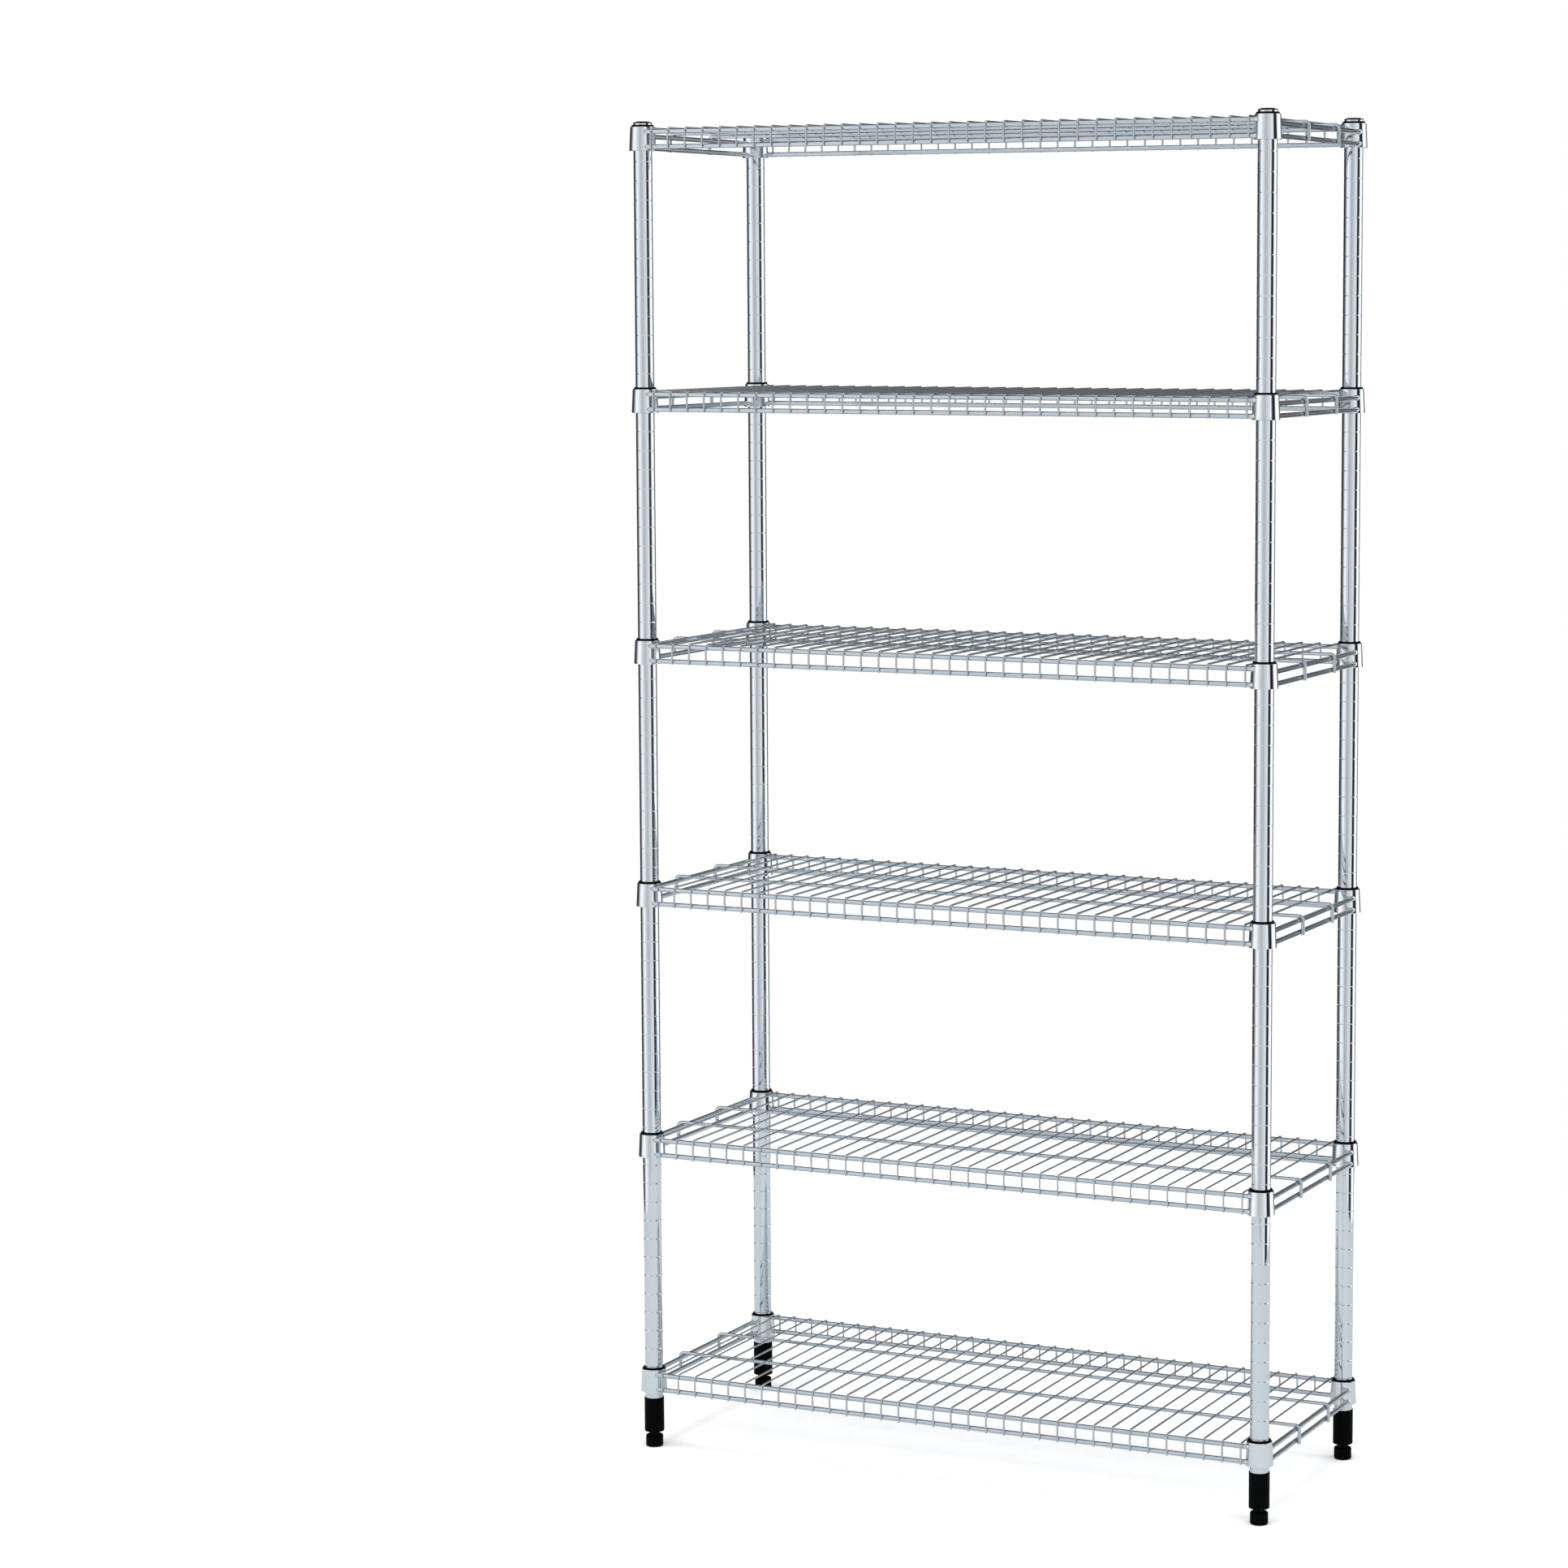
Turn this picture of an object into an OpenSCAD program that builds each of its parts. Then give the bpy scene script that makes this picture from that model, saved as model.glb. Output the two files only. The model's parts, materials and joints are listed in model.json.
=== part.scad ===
// Wire shelving rack: four round posts in two sections each, six welded wire shelves that sit on split
// sleeves clipped round the posts, and a screw-in levelling foot under each post.
// +X is along the shelves, -Y is the front, +Z is up, and z = 0 is the floor under the middle of the rack.

/* [Posts] */
// Distance between post centres along the shelves
post_span_x = 876.4; // [600:0.1:1200]
// Distance between post centres from front to back
post_span_y = 325.9; // [300:0.1:450]
// Height of the top of the post tubes above the floor
post_top = 1787.3; // [1740:0.1:1850]
// Outside diameter of the post tubes
post_d = 24.8; // [24.6:0.1:25]
// Wall thickness of the post tubes
post_wall = 1; // [0.8:0.1:1.5]
// Distance from one ring groove to the next
groove_pitch = 25.4; // [25.4:0.1:30]
// Distance from the top of the tube down to the first groove
first_groove_drop = 24.9; // [20:0.1:35]
// Which groove's place is taken by the joint between the two tubes
joint_groove = 33; // [29:1:37]
// Width of a ring groove at the surface
groove_w = 1.3; // [1:0.1:1.6]
// Depth of a ring groove
groove_depth = 0.4; // [0.3:0.05:0.6]

/* [Shelf heights] */
// Height of the collar tops of the bottom shelf
shelf_1_top = 108; // [105:0.1:200]
// Height of the collar tops of the second shelf
shelf_2_top = 432.6; // [400:0.1:500]
// Height of the collar tops of the third shelf
shelf_3_top = 775.2; // [730:0.1:820]
// Height of the collar tops of the fourth shelf
shelf_4_top = 1102.7; // [1060:0.1:1150]
// Height of the collar tops of the fifth shelf
shelf_5_top = 1437.5; // [1400:0.1:1480]
// Height of the collar tops of the top shelf
shelf_6_top = 1782.6; // [1740:0.1:1783]

/* [Collars and sleeves] */
// Height of a collar
collar_h = 31.3; // [31:0.1:34]
// Outside diameter of a collar at its top
collar_d_top = 32.8; // [32.8:0.1:34]
// Outside diameter of a collar at its bottom
collar_d_bottom = 35.7; // [35:0.1:37]
// Wall thickness of a collar
collar_wall = 1.4; // [1.2:0.1:1.6]
// How far a sleeve's lip stands above the collar
lip_h = 2.6; // [2:0.1:3]
// How far the bottom of a sleeve is below the top of the collar
sleeve_drop = 28.5; // [27:0.1:30]
// Width of the slit between the two halves of a sleeve
sleeve_slit = 0.5; // [0.3:0.1:1]

/* [Shelf wires] */
// Diameter of the rim rods
rod_d = 6.2; // [5.8:0.1:6.4]
// How far the rim rods run outside the line of the post centres
rod_offset = 10.6; // [10:0.1:11]
// Depth of the upper front and back rods' centre below the collar top
upper_rod_drop = 6.6; // [6.4:0.1:7]
// Depth of the lower rods' centre below the collar top
lower_rod_drop = 26.6; // [26:0.1:27.4]
// Diameter of the deck wires
deck_wire_d = 2.6; // [2.2:0.1:3]
// Distance aimed at from one deck wire to the next
deck_wire_pitch = 25.4; // [20:0.1:40]
// Distance from the post centre to the first deck wire
first_wire_inset = 19.9; // [19.5:0.1:25]
// Diameter of the two support wires
support_wire_d = 4.8; // [4.2:0.1:5]
// Distance of each support wire from the middle of the shelf
support_wire_y = 57; // [30:0.5:100]
// Depth that welded wires sink into each other
weld_sink = 0.2; // [0.1:0.05:0.3]

/* [Feet] */
// Height of the moulded pad
pad_h = 15.5; // [12:0.1:18]
// Diameter of the moulded pad
pad_d = 23.4; // [20:0.1:25]
// Gap between the pad and the end sleeve
pad_gap = 5.2; // [3:0.1:8]
// Height of the end sleeve
end_sleeve_h = 47.3; // [40:0.1:50]
// Outside diameter of the end sleeve
end_sleeve_d = 26.8; // [26.4:0.1:28]
// Diameter of the foot's screw thread
stud_d = 7.8; // [6:0.1:8]
// Pitch of the foot's screw thread
thread_pitch = 1.25; // [1:0.05:1.5]

/* [Caps] */
// Thickness of the cap's rim on the end of the tube
cap_rim_h = 1.3; // [1:0.1:2]
// Height of the cap's crown above its rim
cap_crown_h = 1.2; // [0.8:0.1:2]
// Diameter of the crown
cap_crown_d = 17.2; // [12:0.1:20]

/* [Hidden] */
$fn = 64;
wire_fn = 24;
chrome = "#c6ced8";
zinc = "#aeb4ba";
black_oxide = "#232527";
black_plastic = "#17181a";

corners = [["front_left", -1, -1], ["front_right", 1, -1], ["back_left", -1, 1], ["back_right", 1, 1]];
shelf_tops = [shelf_1_top, shelf_2_top, shelf_3_top, shelf_4_top, shelf_5_top, shelf_6_top];
levels = [1 : len(shelf_tops)];

post_r = post_d / 2;
bore_r = post_r - post_wall;
top_groove_z = post_top - first_groove_drop;
joint_z = top_groove_z - joint_groove * groove_pitch;
edge = 0.4;                       // small chamfer on tube and plastic edges
press_gap = 0.02;                 // line-to-line press fit of a plug in its tube
clip_gap = 0.05;                  // slack of a sleeve half round its post
seat_gap = 0.3;                   // running room between a collar and its sleeve
overrun = 1;                      // how far a cut runs past the face it opens

// Feet and the bottom of the posts
stud_r = stud_d / 2;
thread_depth = 0.6;
stud_bottom = 4;
stud_top = 52;
stud_tip = 1;                     // chamfer at both ends of the stud
crest_start = 0.4;                // where the crest of the thread starts and ends, as shares of its pitch
crest_end = 0.6;
end_sleeve_bottom = pad_h + pad_gap;
end_sleeve_top = end_sleeve_bottom + end_sleeve_h;
end_sleeve_floor = 3.3;           // thickness of the end sleeve's bottom wall
end_sleeve_hole_slack = 0.9;      // radial room round the stud in that wall
insert_flange = 2;
insert_flange_inset = 0.3;
insert_h = 24;
insert_lead_in = 1;
post_bottom = end_sleeve_bottom + end_sleeve_floor + insert_flange;
stud_slack = 0.07;                // radial slack of the stud in its insert
lowest_groove = floor((top_groove_z - post_bottom - groove_pitch / 2) / groove_pitch);

// Joint between the two tubes of a post
joint_plug_h = 22;
joint_stud_h = 15;
joint_stud_r = 4.9;
joint_bush_h = 18;

// Sleeves
bead_share = 0.7;                 // share of a post groove that the sleeve's bead fills
lip_land = 0.7;                   // flat width on top of the lip
lip_ease = 0.2;                   // how far the lip draws in halfway up

// Shelf geometry, with z measured from the collar tops
post_x = post_span_x / 2;
post_y = post_span_y / 2;
collar_r_top = collar_d_top / 2;
collar_r_bottom = collar_d_bottom / 2;
collar_taper = (collar_r_bottom - collar_r_top) / collar_h;
rod_r = rod_d / 2;
deck_r = deck_wire_d / 2;
support_r = support_wire_d / 2;
rod_x = post_x + rod_offset;
rod_y = post_y + rod_offset;
deck_wire_z = -upper_rod_drop + rod_r + deck_r - weld_sink;
support_wire_z = deck_wire_z - deck_r - support_r + weld_sink;
upper_end_rod_z = support_wire_z - support_r - rod_r + weld_sink;
wire_tip_overhang = 0.2;
wire_tip_z = -lower_rod_drop - rod_r - wire_tip_overhang;
deck_wire_gaps = round((post_span_x - 2 * first_wire_inset) / deck_wire_pitch);
deck_wire_step = (post_span_x - 2 * first_wire_inset) / deck_wire_gaps;

// ---- helpers ----

module at_post(c) {
    translate([c[1] * post_x, c[2] * post_y, 0]) children();
}

module at_each_post() {
    for (c = corners) at_post(c) children();
}

function groove_z(k) = top_groove_z - k * groove_pitch;

// Outline of one groove, from its upper lip to its lower lip
function groove_outline(z) = [
    [post_r, z + groove_w / 2], [post_r - groove_depth, z + groove_w / 4],
    [post_r - groove_depth, z - groove_w / 4], [post_r, z - groove_w / 2]
];

// Post tube between two heights, with ring grooves number first to last
module grooved_tube(z_low, z_high, first, last) {
    rotate_extrude()
        polygon(concat(
            [[bore_r, z_low], [bore_r, z_high], [post_r, z_high]],
            [for (k = [first : last]) each groove_outline(groove_z(k))],
            [[post_r, z_low]]
        ));
}

// Screw thread drawn as rings, one to each pitch
module threaded_stud(r, z_low, z_high, tip) {
    turns = floor((z_high - z_low - tip) / thread_pitch);
    rotate_extrude()
        polygon(concat(
            [[0, z_low], [r - tip / 2, z_low]],
            [for (i = [0 : turns - 1]) each [
                [r - thread_depth, z_low + tip / 2 + i * thread_pitch],
                [r, z_low + tip / 2 + (i + crest_start) * thread_pitch],
                [r, z_low + tip / 2 + (i + crest_end) * thread_pitch]
            ]],
            [[r - thread_depth, z_low + tip / 2 + turns * thread_pitch], [r - tip, z_high], [0, z_high]]
        ));
}

// Straight rod along X through [0, y, z]
module rod_along_x(half_length, y, z, r) {
    translate([-half_length, y, z])
        rotate([0, 90, 0])
            cylinder(r = r, h = 2 * half_length, $fn = wire_fn);
}

// Straight rod along Y through [x, 0, z]
module rod_along_y(half_length, x, z, r) {
    translate([x, half_length, z])
        rotate([90, 0, 0])
            cylinder(r = r, h = 2 * half_length, $fn = wire_fn);
}

// Wire along X at height z_run, bent down round a rod at each end and cut off at z_tip
module hooked_wire(half_length, bend_r, z_run, z_tip, r) {
    rod_along_x(half_length, 0, z_run, r);
    for (side = [0, 180])
        rotate([0, 0, side])
            translate([half_length, 0, z_run - bend_r]) {
                rotate([90, 0, 0])
                    rotate_extrude(angle = 90)
                        translate([bend_r, 0])
                            circle(r = r, $fn = wire_fn);
                translate([bend_r, 0, z_tip - z_run + bend_r])
                    cylinder(r = r, h = z_run - bend_r - z_tip, $fn = wire_fn);
            }
}

// ---- posts ----

module upper_post(c) {
    color(chrome) at_post(c) grooved_tube(joint_z, post_top, 0, joint_groove - 1);
}

module lower_post(c) {
    color(chrome) at_post(c) grooved_tube(post_bottom, joint_z, joint_groove + 1, lowest_groove);
}

// Plug pressed in the lower tube, with the thread that the upper tube screws down on
module joint_studs() {
    color(zinc) at_each_post() {
        translate([0, 0, joint_z - joint_plug_h])
            cylinder(r = bore_r - press_gap, h = joint_plug_h);
        translate([0, 0, joint_z])
            cylinder(r = joint_stud_r, h = joint_stud_h);
    }
}

module joint_bushes() {
    color(zinc) at_each_post()
        translate([0, 0, joint_z + edge])
            difference() {
                cylinder(r = bore_r - press_gap, h = joint_bush_h);
                translate([0, 0, -overrun])
                    cylinder(r = joint_stud_r + stud_slack, h = joint_bush_h + 2 * overrun);
            }
}

// Push-in cap: a hollow plug in the tube, a rim on the tube's end and a raised crown
module post_cap(c) {
    plug_r = bore_r - press_gap;
    plug_wall = 1.6;
    plug_h = 13;
    crown_r = cap_crown_d / 2;
    rim_top = post_top + cap_rim_h;
    color(black_plastic) at_post(c)
        rotate_extrude()
            polygon([
                [0, post_top - plug_wall], [plug_r - plug_wall, post_top - plug_wall],
                [plug_r - plug_wall, post_top - plug_h], [plug_r - edge, post_top - plug_h],
                [plug_r, post_top - plug_h + edge], [plug_r, post_top], [post_r, post_top],
                [post_r, rim_top - edge], [post_r - edge, rim_top],
                [crown_r + cap_crown_h / 2, rim_top], [crown_r, rim_top + cap_crown_h],
                [0, rim_top + cap_crown_h]
            ]);
}

// ---- feet ----

// Cup over the end of the post, open in the middle of its floor for the stud
module end_sleeve(c) {
    outer_r = end_sleeve_d / 2;
    inner_r = post_r + press_gap;
    hole_r = stud_r + end_sleeve_hole_slack;
    floor_top = end_sleeve_bottom + end_sleeve_floor;
    color(black_plastic) at_post(c)
        rotate_extrude()
            polygon([
                [hole_r, end_sleeve_bottom], [outer_r - 2 * edge, end_sleeve_bottom],
                [outer_r, end_sleeve_bottom + 2 * edge], [outer_r, end_sleeve_top - edge],
                [outer_r - edge, end_sleeve_top], [inner_r, end_sleeve_top],
                [inner_r, floor_top], [hole_r, floor_top]
            ]);
}

// Bush pressed in the tube, with a flange under the tube's end
module foot_inserts() {
    plug_r = bore_r - press_gap;
    flange_r = post_r - insert_flange_inset;
    hole_r = stud_r + stud_slack;
    color(zinc) at_each_post()
        rotate_extrude()
            polygon([
                [hole_r, post_bottom - insert_flange], [flange_r, post_bottom - insert_flange],
                [flange_r, post_bottom], [plug_r, post_bottom],
                [plug_r, post_bottom + insert_h - insert_lead_in],
                [plug_r - insert_lead_in, post_bottom + insert_h],
                [hole_r, post_bottom + insert_h]
            ]);
}

module foot_stud(c) {
    color(black_oxide) at_post(c) threaded_stud(stud_r, stud_bottom, stud_top, stud_tip);
}

// Pad moulded round the stud, with eased edges above and below
module foot_pad(c) {
    pad_r = pad_d / 2;
    ease = 1.6;
    hole_r = stud_r + press_gap;
    color(black_plastic) at_post(c)
        rotate_extrude()
            polygon([
                [0, 0], [pad_r - ease, 0], [pad_r - ease / 3, ease / 3], [pad_r, ease],
                [pad_r, pad_h - ease], [pad_r - ease / 3, pad_h - ease / 3], [pad_r - ease, pad_h],
                [hole_r, pad_h], [hole_r, stud_bottom - press_gap], [0, stud_bottom - press_gap]
            ]);
}

// ---- sleeves ----

// Height of the bead inside the sleeves of a shelf: the groove nearest to the middle of the sleeve
function bead_z(shelf_top) =
    let (middle = shelf_top - (sleeve_drop - lip_h) / 2)
    groove_z(round((top_groove_z - middle) / groove_pitch));

// Two halves round each post, tapered like the collar that wedges down on them
module shelf_clips(n) {
    shelf_top = shelf_tops[n - 1];
    bead = bead_z(shelf_top);
    bead_h = groove_w * bead_share;
    bead_depth = groove_depth * bead_share;
    in_r = post_r + clip_gap;
    seat_r = collar_r_top - collar_wall - seat_gap;
    foot_r = seat_r + sleeve_drop * collar_taper;
    lip_r = in_r + lip_land;
    slit_angle = sleeve_slit / post_r * 180 / PI;
    color(black_plastic) at_each_post()
        for (side = [0, 180])
            rotate([0, 0, side + slit_angle / 2])
                rotate_extrude(angle = 180 - slit_angle)
                    polygon([
                        [in_r, shelf_top - sleeve_drop], [foot_r, shelf_top - sleeve_drop],
                        [seat_r, shelf_top], [seat_r - lip_ease, shelf_top + lip_h / 2],
                        [lip_r, shelf_top + lip_h], [in_r, shelf_top + lip_h],
                        [in_r, bead + bead_h / 2], [in_r - bead_depth, bead + bead_h / 4],
                        [in_r - bead_depth, bead - bead_h / 4], [in_r, bead - bead_h / 2]
                    ]);
}

// ---- shelves ----

module shelf_collars(n) {
    in_top = collar_r_top - collar_wall;
    in_bottom = collar_r_bottom - collar_wall;
    color(chrome) translate([0, 0, shelf_tops[n - 1]]) at_each_post()
        rotate_extrude()
            polygon([
                [in_top, 0], [collar_r_top - edge, 0], [collar_r_top, -edge],
                [collar_r_bottom, -collar_h + edge], [collar_r_bottom - edge, -collar_h],
                [in_bottom, -collar_h]
            ]);
}

// Upper and lower rods on all four sides, cut to fit the collars that they are welded to
module shelf_rim_rods(n) {
    color(chrome) translate([0, 0, shelf_tops[n - 1]])
        difference() {
            for (side = [-1, 1]) {
                rod_along_x(post_x, side * rod_y, -upper_rod_drop, rod_r);
                rod_along_x(post_x, side * rod_y, -lower_rod_drop, rod_r);
                rod_along_y(post_y, side * rod_x, upper_end_rod_z, rod_r);
                rod_along_y(post_y, side * rod_x, -lower_rod_drop, rod_r);
            }
            at_each_post()
                translate([0, 0, -collar_h])
                    cylinder(r1 = collar_r_bottom - weld_sink, r2 = collar_r_top - weld_sink, h = collar_h);
        }
}

module shelf_support_wires(n) {
    bend_r = rod_r + support_r - weld_sink;
    color(chrome) translate([0, 0, shelf_tops[n - 1]])
        for (side = [-1, 1])
            translate([0, side * support_wire_y, 0])
                hooked_wire(rod_x, bend_r, support_wire_z, wire_tip_z, support_r);
}

module shelf_deck_wires(n) {
    bend_r = rod_r + deck_r - weld_sink;
    color(chrome) translate([0, 0, shelf_tops[n - 1]])
        for (i = [0 : deck_wire_gaps])
            translate([first_wire_inset - post_x + i * deck_wire_step, 0, 0])
                rotate([0, 0, 90])
                    hooked_wire(rod_y, bend_r, deck_wire_z, wire_tip_z, deck_r);
}

// ---- nodes ----

for (c = corners) {
    upper_post(c);
    lower_post(c);
    post_cap(c);
    end_sleeve(c);
    foot_stud(c);
    foot_pad(c);
}
joint_studs();
joint_bushes();
foot_inserts();
for (n = levels) {
    shelf_clips(n);
    shelf_collars(n);
    shelf_rim_rods(n);
    shelf_support_wires(n);
    shelf_deck_wires(n);
}
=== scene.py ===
import json
import math

import bpy
import numpy as np
from mathutils import Matrix, Vector

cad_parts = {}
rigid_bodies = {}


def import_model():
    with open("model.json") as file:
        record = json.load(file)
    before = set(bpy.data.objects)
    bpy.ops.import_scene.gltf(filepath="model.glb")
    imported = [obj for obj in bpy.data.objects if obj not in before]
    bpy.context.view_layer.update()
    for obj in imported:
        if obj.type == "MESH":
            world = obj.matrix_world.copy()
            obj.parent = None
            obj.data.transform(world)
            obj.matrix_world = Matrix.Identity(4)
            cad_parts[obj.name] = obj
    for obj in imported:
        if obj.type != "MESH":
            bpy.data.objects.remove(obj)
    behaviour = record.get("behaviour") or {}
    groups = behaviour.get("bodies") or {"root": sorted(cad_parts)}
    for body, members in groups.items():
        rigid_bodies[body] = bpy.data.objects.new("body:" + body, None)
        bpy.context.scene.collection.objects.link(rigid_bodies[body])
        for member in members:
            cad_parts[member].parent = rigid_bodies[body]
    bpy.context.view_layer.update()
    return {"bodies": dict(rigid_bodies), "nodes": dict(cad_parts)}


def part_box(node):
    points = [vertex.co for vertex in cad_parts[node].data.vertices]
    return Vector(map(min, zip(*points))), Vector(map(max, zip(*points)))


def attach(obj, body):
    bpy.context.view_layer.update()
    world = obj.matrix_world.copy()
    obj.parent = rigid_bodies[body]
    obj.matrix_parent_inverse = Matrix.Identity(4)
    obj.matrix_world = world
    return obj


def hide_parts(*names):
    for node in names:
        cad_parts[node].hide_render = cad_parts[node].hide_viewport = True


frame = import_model()
mm = 0.001

corners = ["front_left", "front_right", "back_left", "back_right"]
shelves = [body for body in frame["bodies"] if body.startswith("shelf_")]


def middleOf(node):
    low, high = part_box(node)
    return (low + high) / 2


def postCentre(corner):
    return np.array(middleOf("lower_post_" + corner)[:2])


# The named settings of a piece, from millimetres to metres
def metres(piece, *names):
    return [piece[name] * mm for name in names]


# Evenly spaced angles round one turn
def roundTurn(steps):
    return np.linspace(0, 2 * np.pi, steps, endpoint=False)


# Points of an arc from one angle to another, as (radius cos a + x, radius sin a + y)
def arc(x, y, radius, start, end, steps):
    a = np.radians(np.linspace(start, end, steps))
    return np.stack([x + radius * np.cos(a), y + radius * np.sin(a)], 1).tolist()


# Faces of a grid of points, rows by columns: each cell is a four-sided face, and wrapping joins the last line
# of points to the first
def gridFaces(rows, columns, wrapRows=False, wrapColumns=True):
    i, j = np.meshgrid(np.arange(rows if wrapRows else rows - 1),
                       np.arange(columns if wrapColumns else columns - 1), indexing="ij")
    i, j = i.ravel(), j.ravel()
    nextI, nextJ = (i + 1) % rows, (j + 1) % columns
    return np.stack([i * columns + j, i * columns + nextJ, nextI * columns + nextJ, nextI * columns + j], 1)


# A point is put a little way in from both ends of each long straight stretch of an outline, at
# point + gap * direction, so that the shading of a flat wall isn't bent by the curve beside it
def steadied(outline, gap=0.35 * mm):
    outline = np.array(outline, float)
    step = np.roll(outline, -1, 0) - outline
    length = np.linalg.norm(step, axis=1)
    inward = step * (gap / np.maximum(length, 1e-9))[:, None]
    trio = np.stack([outline, outline + inward, outline + step - inward], 1)
    keep = np.stack([np.ones(len(outline), bool)] + 2 * [length > 5 * gap], 1)
    return trio[keep]


# An outline of (radius, height) turned to each angle round an upright axis:
# x = cx + r cos a, y = cy + r sin a, z = h
def turnedPoints(outline, centre, angles):
    r, h = np.array(outline, float).T[:, :, None]
    points = np.stack([centre[0] + r * np.cos(angles), centre[1] + r * np.sin(angles), h + 0 * angles], -1)
    return points.reshape(-1, 3)


# A closed outline turned right round
def turnedRing(outline, centre, segments):
    faces = [gridFaces(len(outline), segments, wrapRows=True)]
    return turnedPoints(outline, centre, roundTurn(segments)), faces


# The same for an outline that starts and ends on the axis: each end is one point, closed by a fan
def turnedSolid(outline, centre, segments):
    rings = len(outline) - 2
    poles = [[centre[0], centre[1], outline[0][1]], [centre[0], centre[1], outline[-1][1]]]
    points = np.vstack([turnedPoints(outline[1:-1], centre, roundTurn(segments)), poles])
    j = np.arange(segments)
    nextJ = (j + 1) % segments
    lastRing, firstPole = (rings - 1) * segments, rings * segments
    firstFan = np.stack([np.full(segments, firstPole), nextJ, j], 1)
    lastFan = np.stack([np.full(segments, firstPole + 1), lastRing + j, lastRing + nextJ], 1)
    return points, [gridFaces(rings, segments), firstFan, lastFan]


# A closed outline turned through part of a circle, its two ends closed flat
def turnedArc(outline, centre, start, end, steps):
    firstEnd = np.arange(len(outline))[None, :] * steps
    faces = [gridFaces(len(outline), steps, wrapRows=True, wrapColumns=False), firstEnd,
             firstEnd[:, ::-1] + steps - 1]
    return turnedPoints(outline, centre, np.linspace(start, end, steps)), faces


# A circle carried along a flat path: each point is path + radius (cos b side + sin b up), where side is the
# normal of the path's plane and up is at right angles to it and to the path. Both ends are closed flat.
def carriedWire(path, radii, side, sides):
    along = np.gradient(path, axis=0)
    along /= np.linalg.norm(along, axis=1)[:, None]
    up = np.cross(side, along)
    b = roundTurn(sides) + np.pi / sides
    ring = np.cos(b)[None, :, None] * np.array(side, float) + np.sin(b)[None, :, None] * up[:, None, :]
    points = path[:, None, :] + radii[:, None, None] * ring
    wall = gridFaces(len(path), sides)[:, ::-1]
    firstEnd = np.arange(sides)[None, :]
    lastEnd = (len(path) - 1) * sides + firstEnd[:, ::-1]
    cornerNormals = np.vstack([ring.reshape(-1, 3)[wall.ravel()], np.zeros((2 * sides, 3))])
    return points.reshape(-1, 3), [wall, firstEnd, lastEnd], cornerNormals


# Several surfaces as one mesh object at the origin, smooth except where two faces meet at over sharpAngle. A
# surface is its points, its faces in blocks of one number of corners and, on wires, the normals of its face
# corners, where a zero one is left for Blender to work out.
def makePiece(name, surfaces, body, material, replaced, sharpAngle=38):
    faces, normals, start = [], [], 0
    for points, blocks, *cornerNormals in surfaces:
        for block in blocks:
            faces += (start + block).tolist()
        normals += cornerNormals
        start += len(points)
    mesh = bpy.data.meshes.new(name)
    mesh.from_pydata(np.vstack([surface[0] for surface in surfaces]).tolist(), [], faces)
    mesh.shade_smooth()
    mesh.set_sharp_from_angle(angle=math.radians(sharpAngle))
    if normals:
        mesh.normals_split_custom_set(np.vstack(normals).tolist())
    mesh.materials.append(material)
    piece = bpy.data.objects.new(name, mesh)
    bpy.context.scene.collection.objects.link(piece)
    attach(piece, body)
    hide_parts(replaced)
    return piece


def linear(hexColour):
    channels = [int(hexColour[k:k + 2], 16) / 255 for k in (1, 3, 5)]
    return tuple(c / 12.92 if c <= 0.04045 else ((c + 0.055) / 1.055) ** 2.4 for c in channels) + (1,)


# A setting is a property of the node, or an input by its name or number. On a Mix node of colours, input 0 is
# the share and inputs 6 and 7 are the colours.
def addNode(tree, kind, settings=None, links=None):
    node = tree.nodes.new(kind)
    for key, value in (settings or {}).items():
        if isinstance(key, str) and hasattr(node, key):
            setattr(node, key, value)
        else:
            node.inputs[key].default_value = value
    for key, socket in (links or {}).items():
        tree.links.new(socket, node.inputs[key])
    return node


def newMaterial(name):
    material = bpy.data.materials.new(name)
    material.use_nodes = True
    material.node_tree.nodes.clear()
    return material, material.node_tree


# Bright chrome plate: thin chromium over bright nickel on polished steel. The eye gets a mirror with a cool
# cast, a faint waviness left by drawing and polishing, and here and there a slightly duller patch.
def chromePlate(name, look):
    material, tree = newMaterial(name)
    place = addNode(tree, "ShaderNodeTexCoord").outputs["Object"]
    stretched = addNode(tree, "ShaderNodeMapping", {"Scale": look["grainStretch"]}, {"Vector": place})
    grain = addNode(tree, "ShaderNodeTexNoise",
                    {"Scale": 1 / (look["grainMm"] * mm), "Detail": 3.0, "Roughness": 0.55},
                    {"Vector": stretched.outputs[0]})
    patches = addNode(tree, "ShaderNodeTexNoise",
                      {"Scale": 1 / (look["patchMm"] * mm), "Detail": 4.0, "Roughness": 0.6},
                      {"Vector": place})
    dull = addNode(tree, "ShaderNodeMapRange",
                   {"From Min": 0.35, "From Max": 0.7, "To Min": look["roughness"][0],
                    "To Max": look["roughness"][1]}, {"Value": patches.outputs["Fac"]})
    tint = addNode(tree, "ShaderNodeMix",
                   {"data_type": "RGBA", 6: linear(look["colour"]), 7: linear(look["dullColour"])},
                   {0: patches.outputs["Fac"]})
    waves = addNode(tree, "ShaderNodeBump",
                    {"Strength": look["waviness"], "Distance": look["waveDepthMm"] * mm},
                    {"Height": grain.outputs["Fac"]})
    shader = addNode(tree, "ShaderNodeBsdfPrincipled", {"Metallic": 1.0},
                     {"Base Color": tint.outputs[2], "Roughness": dull.outputs[0],
                      "Normal": waves.outputs[0]})
    addNode(tree, "ShaderNodeOutputMaterial", links={"Surface": shader.outputs[0]})
    return material


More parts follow.
